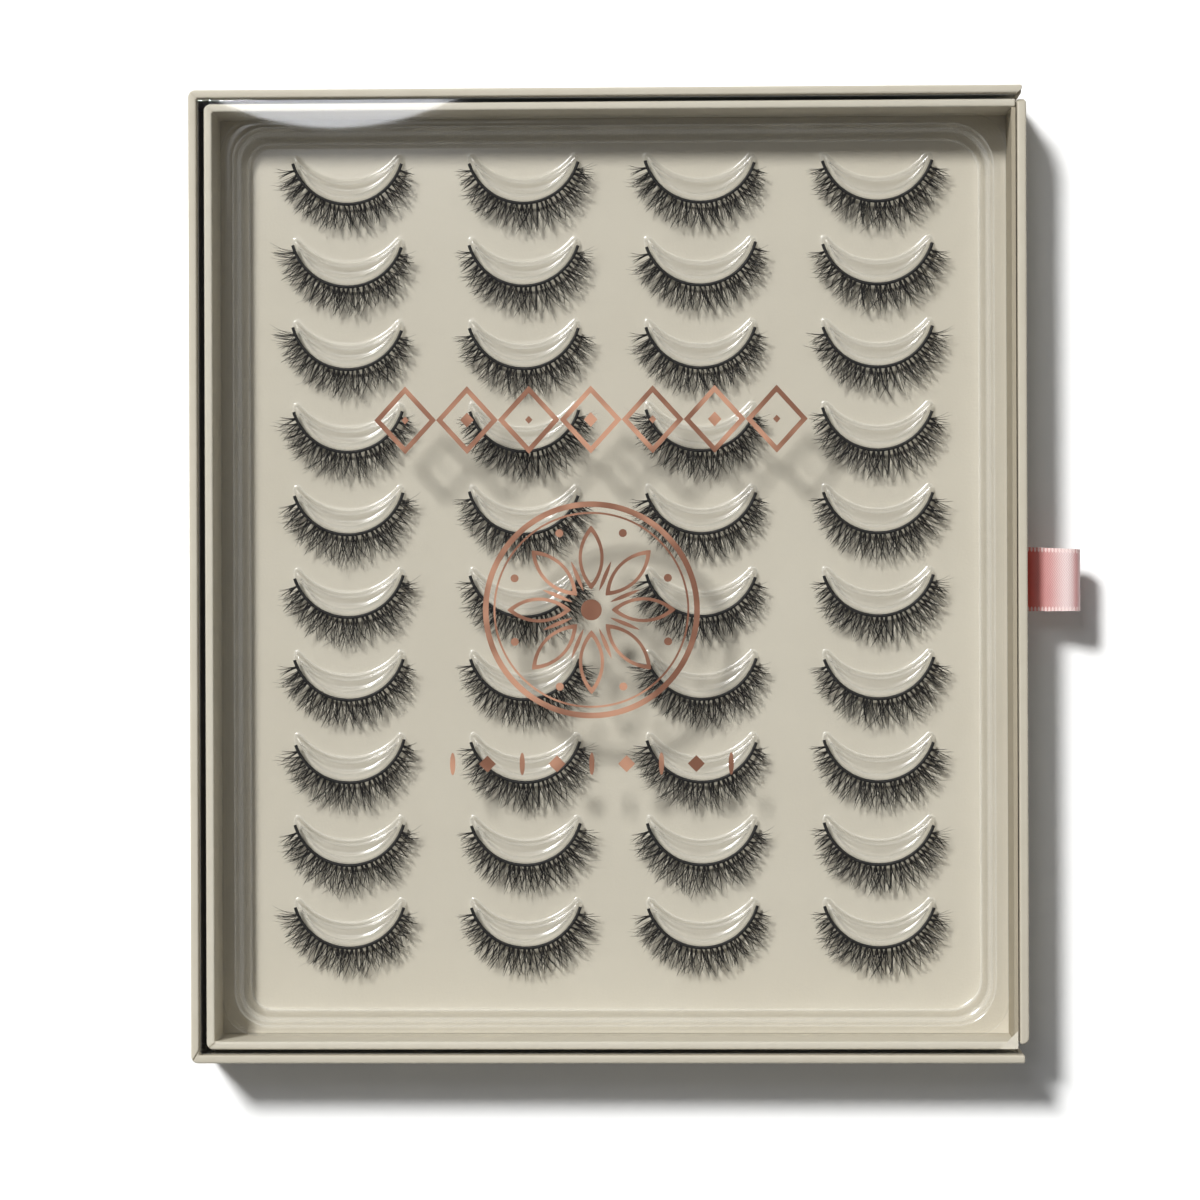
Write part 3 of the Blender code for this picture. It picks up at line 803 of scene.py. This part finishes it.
def ribbon_path():
    """The line that the ribbon's middle follows, from one tail round the loop to the other."""
    middle = (panel_low.z + panel_high.z) / 2
    points = [(TAIL_X, TAIL_ENDS[0]), (TAIL_X, middle - 2 * LOOP_NECK)]
    points.append((TAIL_X + LOOP_NECK, middle - LOOP_NECK))
    for step in range(LOOP_POINTS + 1):
        turn = 2 * math.pi * step / LOOP_POINTS
        reach = LOOP_REACH * math.sin(turn / 2)
        rise = LOOP_NECK * math.cos(turn / 2) + LOOP_RISE * math.sin(turn) * math.sin(turn / 2)
        points.append((LOOP_START + reach, middle - rise))
    points.append((TAIL_X + LOOP_NECK, middle + LOOP_NECK))
    points += [(TAIL_X, middle + 2 * LOOP_NECK), (TAIL_X, TAIL_ENDS[1])]
    return [Vector((x, 0, z)) for x, z in points]


def along(path, length):
    """The point at a length along a path."""
    for first, last in zip(path, path[1:]):
        stretch = (last - first).length
        if length <= stretch:
            return first.lerp(last, length / stretch)
        length -= stretch
    return path[-1].copy()


def satin_ribbon():
    """Satin: fine slanting floats with a soft sheen, a painted highlight across the loop towards its far
    end, painted shade next to the panel, and a zigzag of pale picots at both edges.
    """
    shader = new_shader("rose_satin")
    flat = shader.node("UVMap", {"uv_map": "ribbon"})
    across, length = shader.part_of(flat, "X"), shader.part_of(flat, "Y")
    weave = shader.maths("PINGPONG", across, WEAVE)
    floats = shader.maths("SINE", (length + weave * WEAVE_LEAN) * FLOAT_WAVES)
    threads = shader.maths("SINE", across * THREAD_WAVES)
    picot = shader.maths("SINE", length * PICOT_WAVES)
    edge = shader.maths("ABSOLUTE", across)
    rim = shader.step(edge + picot * PICOT_DEEP, *[RIBBON_WIDE / 2 - wide for wide in RIM_WIDE])
    cloud = shader.noise(SATIN_CLOUD)
    share = 0.6 + floats * 0.36 + threads * 0.05 + (cloud - 0.5) * 0.4
    colour = shader.blend(share, srgb(ROSE_DEEP), srgb(ROSE))
    reach = shader.part_of(shader.place(), "X") - panel_high.x
    # Painted highlight: a pale band laid across the loop towards its far end, stronger on the floats.
    painted_highlight = shader.step(reach, *PAINTED_HIGHLIGHT_RISE) * (1 - shader.step(reach, *PAINTED_HIGHLIGHT_FALL))
    colour = shader.blend(painted_highlight * (0.72 + floats * 0.28), colour, srgb(ROSE_PAINTED_HIGHLIGHT))
    # Painted shade: a deeper red laid on the loop next to the panel, where the panel's shadow falls, fading
    # out within a few millimetres.
    colour = shader.blend(1 - shader.step(reach, *PAINTED_SHADE_REACH), colour, srgb(ROSE_PAINTED_SHADE))
    colour = shader.blend(rim * (0.5 + picot * 0.4), colour, srgb(ROSE_PICOT))
    values = {
        "Base Color": colour,
        "Roughness": 0.36 + rim * 0.3 - floats * 0.03,
        "Specular IOR Level": 1,
        "Sheen Weight": 0.25,
        "Sheen Roughness": 0.4,
        "Normal": shader.bump(floats * 0.4 + threads * 0.1 + rim * picot, SATIN_RELIEF),
    }
    return shader.finish(shader.node("BsdfPrincipled", values=values))


def make_ribbon():
    path = ribbon_path()
    total = sum((b - a).length for a, b in zip(path, path[1:]))
    steps = {"x_subdivisions": RIBBON_CROSS_STEPS, "y_subdivisions": RIBBON_STEPS}
    bpy.ops.mesh.primitive_grid_add(size=1, **steps)
    ribbon = bpy.context.active_object
    ribbon.name = "satin_ribbon"
    ribbon.data.uv_layers.active.name = "ribbon"
    for loop, spot in zip(ribbon.data.loops, ribbon.data.uv_layers["ribbon"].data):
        flat = ribbon.data.vertices[loop.vertex_index].co
        spot.uv = (flat.x * RIBBON_WIDE, (flat.y + 0.5) * total)
    for vert in ribbon.data.vertices:
        point = along(path, (vert.co.y + 0.5) * total)
        drift = LOOP_DRIFT * max(0, point.x - LOOP_START) / LOOP_REACH
        vert.co = (point.x, RIBBON_SHIFT - drift * (0.5 + vert.co.x) + vert.co.x * RIBBON_WIDE, point.z)
    finish_with(ribbon, "SOLIDIFY", thickness=RIBBON_THICK, offset=0)
    smooth(ribbon, 60)
    return ribbon, total


ribbon, ribbon_long = make_ribbon()
dress(ribbon, satin_ribbon(), "drawer", ("ribbon_pull",))


# Backing card. A loose greige card under the clear tray, which gives the tray its colour. It is
# cut to the room between the drawer's walls.
CARD_PAST = (0.00025, 0.00003)
CARD_GREIGE = (211, 205, 191)
CARD_GREIGE_DEEP = (202, 195, 180)
CARD_GRAIN = 0.0007


def make_card():
    low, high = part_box("backing_card")
    past = Vector((*CARD_PAST, 0))
    return box_between("greige_card", low - past, high + past)


greige_card = plain_card("greige_card", CARD_GREIGE, CARD_GREIGE_DEEP, CARD_GRAIN)
dress(make_card(), greige_card, "drawer", ("backing_card",))


# Blister tray. One thermoformed sheet of clear plastic: a flange and a stepped wall round a flat
# floor, and forty crescents raised from it. A crescent has a ledge along its lower edge and a
# slightly dished crown, and all its edges are rounded by the forming.
TRAY_SHEET = 0.0003
TRAY_OUTER = (0.0983, 0.1149)
TRAY_THROAT = (0.09505, 0.11245)
RIM_SHIFT = 0.00028
FLANGE_CORNER = 0.0088
THROAT_CORNERS = (0.0108, 0.008, 0.0084, 0.0104)
CORNER_LOSS = 0.8
TRAY_CORNER_STEPS = 12
FLOOR_BELOW_FLANGE = 0.008
RIM_PROFILE = (
    (0.0046, 0.0), (0.0039, 0.0), (0.0035, 0.00008), (0.0032, 0.0003), (0.0029, 0.0008),
    (0.0021, 0.0050), (0.0019, 0.0055), (0.0016, 0.0057), (0.0013, 0.0058), (0.0010, 0.0060),
    (0.0006, 0.0070), (0.00035, 0.0075), (0.0001, 0.0078), (-0.0003, 0.00795), (-0.0008, 0.0080),
)
FLANGE_PROFILE = (
    (0.0013, 0.0080), (0.00115, 0.00797), (0.001, 0.00787), (0.0009, 0.00784), (0.0003, 0.00784),
    (0.0001, 0.00776), (0.00002, 0.0076), (0.0, 0.0073),
)
HOLDER_ROWS = 10
HOLDER_COLUMNS = 4
HOLDER_HALF = 0.0138
HOLDER_DEPTH = 0.0115
HOLDER_DIP = 0.0058
HOLDER_TIP = 0.0007
ARC_STEPS = 24
TIP_STEPS = 6
HOLDER_PROFILE = (
    (-0.0010, 0.0), (-0.0007, 0.0), (-0.0004, 0.0001), (-0.0002, 0.0003), (-0.00005, 0.0006),
    (0.0002, 0.0020), (0.00026, 0.00225), (0.0004, 0.00242), (0.0006, 0.0025),
)
CROWN_FROM_LEDGE = 0.0013
CROWN_SIDE = 0.0004
CROWN_TOP = 0.0003
CROWN_TIP = 0.00035
CROWN_PROFILE = ((0.0, 0.0025), (0.00004, 0.00262), (0.0001, 0.00285), (0.00018, 0.00296), (0.0003, 0.003))
CROWN_CLOSING = ((0.15, 0.00302), (0.35, 0.00292), (0.6, 0.0028), (0.8, 0.00274), (1.0, 0.00272))
COLUMN_PITCH = 0.0444
ROW_PITCH = 0.18725 / 9
FIRST_ROW = 0.10545
TRAY_TINT = (0.993, 0.993, 0.99, 1)


def rounded_frame(half_x, half_y, radii):
    """A rectangle round the middle of the tray, with a radius for each of its corners."""
    points = []
    for quarter, (side_x, side_y) in enumerate(((1, 1), (-1, 1), (-1, -1), (1, -1))):
        radius = radii[quarter]
        for step in range(TRAY_CORNER_STEPS + 1):
            turn = math.pi / 2 * (quarter + step / TRAY_CORNER_STEPS)
            points.append((tray_middle.x + RIM_SHIFT + side_x * (half_x - radius) + radius * math.cos(turn),
                           side_y * (half_y - radius) + radius * math.sin(turn)))
    return points


def rim_rings():
    """The closed lines of the rim, from the floor up the stepped wall and out over the flange."""
    rings = []
    for inset, height in RIM_PROFILE:
        radii = [corner - CORNER_LOSS * inset for corner in THROAT_CORNERS]
        line = rounded_frame(TRAY_THROAT[0] - inset, TRAY_THROAT[1] - inset, radii)
        rings.append([(x, y, height) for x, y in line])
    for inset, height in FLANGE_PROFILE:
        line = rounded_frame(TRAY_OUTER[0] - inset, TRAY_OUTER[1] - inset, [FLANGE_CORNER - inset] * 4)
        rings.append([(x, y, height) for x, y in line])
    return rings


def arc_through(half_chord, depth):
    """Height of the centre over the chord, and radius, of an arc that hangs below its chord."""
    radius = (half_chord**2 + depth**2) / (2 * depth)
    return radius - depth, radius


def crescent(lower, upper, tip):
    """A crescent between two arcs, each a centre height and a radius, closed by round tips."""
    (low_rise, low_radius), (high_rise, high_radius) = lower, upper
    apart = (low_radius - tip) ** 2 - (high_radius + tip) ** 2
    tip_y = (low_rise + high_rise + apart / (high_rise - low_rise)) / 2
    tip_x = math.sqrt((low_radius - tip) ** 2 - (tip_y - low_rise) ** 2)
    low_turn = math.atan2(tip_x, low_rise - tip_y)
    high_turn = math.atan2(tip_x, high_rise - tip_y)
    start = math.atan2(tip_y - low_rise, tip_x)
    end = math.atan2(high_rise - tip_y, -tip_x)
    shares = [2 * step / ARC_STEPS - 1 for step in range(ARC_STEPS + 1)]
    cap = []
    for step in range(1, TIP_STEPS):
        turn = start + (end - start) * step / TIP_STEPS
        cap.append((tip_x + tip * math.cos(turn), tip_y + tip * math.sin(turn)))
    points = [(low_radius * math.sin(low_turn * s), low_rise - low_radius * math.cos(low_turn * s))
              for s in shares]
    points += cap
    points += [(-high_radius * math.sin(high_turn * s), high_rise - high_radius * math.cos(high_turn * s))
               for s in shares]
    points += [(-x, y) for x, y in reversed(cap)]
    return points


def holder_rings():
    """The closed lines of one crescent from its foot to its crown's middle line."""
    lower = arc_through(HOLDER_HALF, HOLDER_DEPTH)
    upper = arc_through(HOLDER_HALF - 2 * HOLDER_TIP, HOLDER_DIP)
    rings = []
    for inset, height in HOLDER_PROFILE:
        line = crescent((lower[0], lower[1] - inset), (upper[0], upper[1] + inset), HOLDER_TIP - inset)
        rings.append([(x, y, height) for x, y in line])
    for inset, height in CROWN_PROFILE:
        low = (lower[0] + CROWN_FROM_LEDGE, lower[1] - CROWN_SIDE - inset)
        high = (upper[0], upper[1] + CROWN_SIDE + CROWN_TOP + inset)
        rings.append([(x, y, height) for x, y in crescent(low, high, CROWN_TIP - inset)])
    edge = rings[-1]
    for share, height in CROWN_CLOSING:
        ring = []
        for place, (x, y, _) in enumerate(edge):
            other = edge[(2 * ARC_STEPS + TIP_STEPS - place) % len(edge)]
            ring.append((x + (other[0] - x) / 2 * share, y + (other[1] - y) / 2 * share, height))
        rings.append(ring)
    return rings


def copy_to(piece, x, y):
    """A copy with its own mesh, moved within the plane."""
    copy = piece.copy()
    copy.data = piece.data.copy()
    copy.data.transform(Matrix.Translation((x, y, 0)))
    bpy.context.collection.objects.link(copy)
    return copy


def holder_place(row, column):
    return (tray_middle.x + (column - (HOLDER_COLUMNS + 1) / 2) * COLUMN_PITCH,
            FIRST_ROW - (row - 1) * ROW_PITCH)


def make_tray(top):
    rim = loft("tray", rim_rings())
    holder = loft("holder", holder_rings())
    holders = [copy_to(holder, *holder_place(row, column))
               for row in range(1, HOLDER_ROWS + 1) for column in range(1, HOLDER_COLUMNS + 1)]
    bpy.data.objects.remove(holder)
    tray = join("lash_tray", [rim] + holders)
    bm = edit(tray, "EDGE")
    pick(bm.edges, lambda edge: len(edge.link_faces) == 1 and max(v.co.z for v in edge.verts) < TRAY_SHEET)
    bpy.ops.mesh.fill(use_beauty=True)
    bpy.ops.mesh.select_all(action="SELECT")
    bpy.ops.mesh.normals_make_consistent(inside=False)
    leave_edit()
    if sum(face.normal.z * face.area for face in tray.data.polygons) < 0:
        tray.data.flip_normals()
    tray.data.transform(Matrix.Translation((0, 0, top - FLOOR_BELOW_FLANGE)))
    finish_with(tray, "SOLIDIFY", thickness=TRAY_SHEET, offset=-1)
    alone(tray)
    bpy.ops.object.shade_smooth()
    return tray


tray_low, tray_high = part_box("blister_tray")
tray_middle = (tray_low + tray_high) / 2
tray_clear = clear_plastic(
    "tray_plastic", TRAY_TINT, dust=0.03, gloss=0.15, face_mirror=0.022, milk=0.09, loss=0.35,
    wave_size=0.02, wave_depth=0.00001
)
dress(make_tray(tray_high.z), tray_clear, "drawer", ("blister_tray",))


# Strip lashes. Forty strips, each a black cotton band with clusters of fine tapered fibres
# knotted to it, glued along the lower edge of a crescent. Their tips curl up off the tray.
LASH_MAKES = 8
BAND_RADIUS = 0.0143
BAND_HALF = 0.0004
BAND_HEIGHT = 0.0075
BAND_SPAN = math.radians(72)
BAND_POINTS = 49
BAND_PAST = 1.02
BAND_ROUND = 2
LASH_HUB = 0.0026
CLUSTERS = 28
SPIKES = 5
SPIKE_HAIRS = 3
CLUSTER_TILT = 0.09
CLUSTER_SPREAD = 0.1
CLUSTER_CURL = 0.26
CLUSTER_STRAY = 0.15
CLUSTER_LONG = (0.9, 1.06)
PEAK_POWER = 2.2
SPIKE_LEAN = 0.05
SPIKE_CURL = 0.14
SPIKE_LOSS = 0.3
SPIKE_SHIFT = (0.2, 0.12)
SPIKE_PULL = 0.75
STRAY_SHARE = 0.16
STRAY_PULL = 0.25
STRAY_CURL = 0.4
HAIR_POINTS = 5
HAIR_HALF = 0.000072
HAIR_TIP_SHARE = 0.3
HAIR_MIDDLE = 0.0079
HAIR_END = 0.0044
HAIR_RISE = 0.0011
HAIR_BEND = 1.7
HAIR_LONG = (0.82, 1.04)
HAIR_REGION = 0.95
PEAK_SHIFT = 0.08
LASH_TILT = math.radians(1)
LASH_SEED = 4100
PLACE_SEED = 77
LASH_BLACK = (9, 8, 7)
LASH_BROWN = (22, 18, 15)
BAND_GREY = (30, 29, 29)


def hair_line(chance, root, lean, curl, length):
    """The points of one fibre, which bends a little aside and curls up towards its tip."""
    turn = root * BAND_SPAN
    out = Vector((math.sin(turn), -math.cos(turn), 0))
    aside = Vector((math.cos(turn), math.sin(turn), 0))
    start = out * BAND_RADIUS + Vector((0, LASH_HUB, BAND_HEIGHT + chance.uniform(-0.0001, 0.0002)))
    rise = HAIR_RISE * chance.uniform(0.75, 1.08)
    points = []
    for step in range(HAIR_POINTS):
        share = step / (HAIR_POINTS - 1)
        across = length * (lean * share + curl * share**2)
        reach = length * share * (1 - 0.12 * abs(lean) * share)
        lift = Vector((0, 0, rise * share**HAIR_BEND))
        points.append(start + out * reach + aside * across + lift)
    return points


def lash_hairs(chance, side):
    """All fibres of one strip: fans of spikes, each spike a few fibres that meet at its tip, and
    some stray fibres that cross them."""
    lines = []
    arc = BAND_SPAN * BAND_RADIUS
    for cluster in range(CLUSTERS):
        place = cluster + 0.5 + chance.uniform(-CLUSTER_STRAY, CLUSTER_STRAY)
        middle = HAIR_REGION * (2 * place / CLUSTERS - 1)
        peak = max(0.0, 1 - abs(middle - side * PEAK_SHIFT) ** PEAK_POWER)
        long = (HAIR_END + (HAIR_MIDDLE - HAIR_END) * peak) * chance.uniform(*CLUSTER_LONG)
        tilt = chance.gauss(0, CLUSTER_TILT)
        for spike in range(SPIKES):
            fan = 2 * spike / (SPIKES - 1) - 1
            lean = tilt + CLUSTER_SPREAD * fan + chance.gauss(0, SPIKE_LEAN)
            curl = CLUSTER_CURL * fan + chance.gauss(0, SPIKE_CURL)
            length = long * (1 - SPIKE_LOSS * abs(fan) * chance.uniform(0.2, 1))
            for _ in range(SPIKE_HAIRS):
                shift = (SPIKE_SHIFT[0] * fan + chance.gauss(0, SPIKE_SHIFT[1])) / CLUSTERS
                pull = SPIKE_PULL * shift * arc / length
                if chance.random() < STRAY_SHARE:
                    pull, curl = chance.gauss(0, STRAY_PULL), chance.gauss(0, STRAY_CURL)
                reach = length * chance.uniform(*HAIR_LONG)
                lines.append(hair_line(chance, middle + shift, lean - pull, curl, reach))
    return lines


def tube(name, lines, half, tip_share=1, roundness=0):
    """Thin tubes along open lines, as a curve with a round bevel that is made a mesh."""
    curve = bpy.data.curves.new(name, "CURVE")
    curve.dimensions = "3D"
    curve.bevel_depth = half
    curve.bevel_resolution = roundness
    curve.use_fill_caps = True
    for line in lines:
        spline = curve.splines.new("POLY")
        spline.points.add(len(line) - 1)
        for place, (point, where) in enumerate(zip(spline.points, line)):
            share = place / (len(line) - 1)
            point.co = (*where, 1)
            point.radius = 1 - (1 - tip_share) * share
    piece = bpy.data.objects.new(name, curve)
    bpy.context.collection.objects.link(piece)
    alone(piece)
    bpy.ops.object.convert(target="MESH")
    return bpy.context.active_object


def band_line():
    turns = [BAND_SPAN * BAND_PAST * (2 * place / (BAND_POINTS - 1) - 1) for place in range(BAND_POINTS)]
    return [Vector((BAND_RADIUS * math.sin(turn), LASH_HUB - BAND_RADIUS * math.cos(turn), BAND_HEIGHT))
            for turn in turns]


def lash_fibre():
    """Black synthetic fibre with a dull shine, brown where the light gets through it."""
    shader = new_shader("lash_fibre")
    tone = shader.noise(0.0015)
    values = {
        "Base Color": shader.blend(tone, srgb(LASH_BLACK), srgb(LASH_BROWN)),
        "Roughness": 0.5 + tone * 0.2,
        "Specular IOR Level": 0.25,
    }
    return shader.finish(shader.node("BsdfPrincipled", values=values))


def band_cotton():
    """The knotted band: black thread in a skin of clear glue, which looks grey where it is thick."""
    shader = new_shader("lash_band")
    knots = shader.noise(0.0006, 2)
    values = {
        "Base Color": shader.blend(shader.step(knots, 0.45, 0.7), srgb(LASH_BLACK), srgb(BAND_GREY)),
        "Roughness": 0.45 + knots * 0.25,
        "Specular IOR Level": 0.3,
        "Normal": shader.bump(knots, 0.0001),
    }
    return shader.finish(shader.node("BsdfPrincipled", values=values))


def make_lash(make):
    """One strip round its hub, with its longest fibres towards its outer corner."""
    chance = random.Random(LASH_SEED + make)
    hairs = tube("hairs", lash_hairs(chance, -1 if make % 2 else 1), HAIR_HALF, HAIR_TIP_SHARE)
    hairs.data.materials.append(fibre)
    band = tube("band", [band_line()], BAND_HALF, roundness=BAND_ROUND)
    band.data.materials.append(cotton)
    return join("lash_make", [hairs, band])


fibre = lash_fibre()
cotton = band_cotton()
lash_makes = [make_lash(make) for make in range(LASH_MAKES)]
lash_chance = random.Random(PLACE_SEED)
for lash_row in range(1, HOLDER_ROWS + 1):
    for lash_column in range(1, HOLDER_COLUMNS + 1):
        make_number = 2 * lash_chance.randrange(LASH_MAKES // 2) + lash_column % 2
        lash = lash_makes[make_number].copy()
        lash.data = lash_makes[make_number].data.copy()
        lash.name = f"strip_lash_r{lash_row:02d}_c{lash_column}"
        bpy.context.collection.objects.link(lash)
        swing = Matrix.Rotation(lash_chance.gauss(0, LASH_TILT), 4, "Z")
        swing = Matrix.Translation((0, LASH_HUB, 0)) @ swing
        lash.data.transform(swing @ Matrix.Translation((0, -LASH_HUB, 0)))
        lash.data.transform(Matrix.Translation((*holder_place(lash_row, lash_column), 0)))
        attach(lash, "drawer")
        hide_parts(f"lash_r{lash_row:02d}_c{lash_column}")
for lash in lash_makes:
    bpy.data.objects.remove(lash)
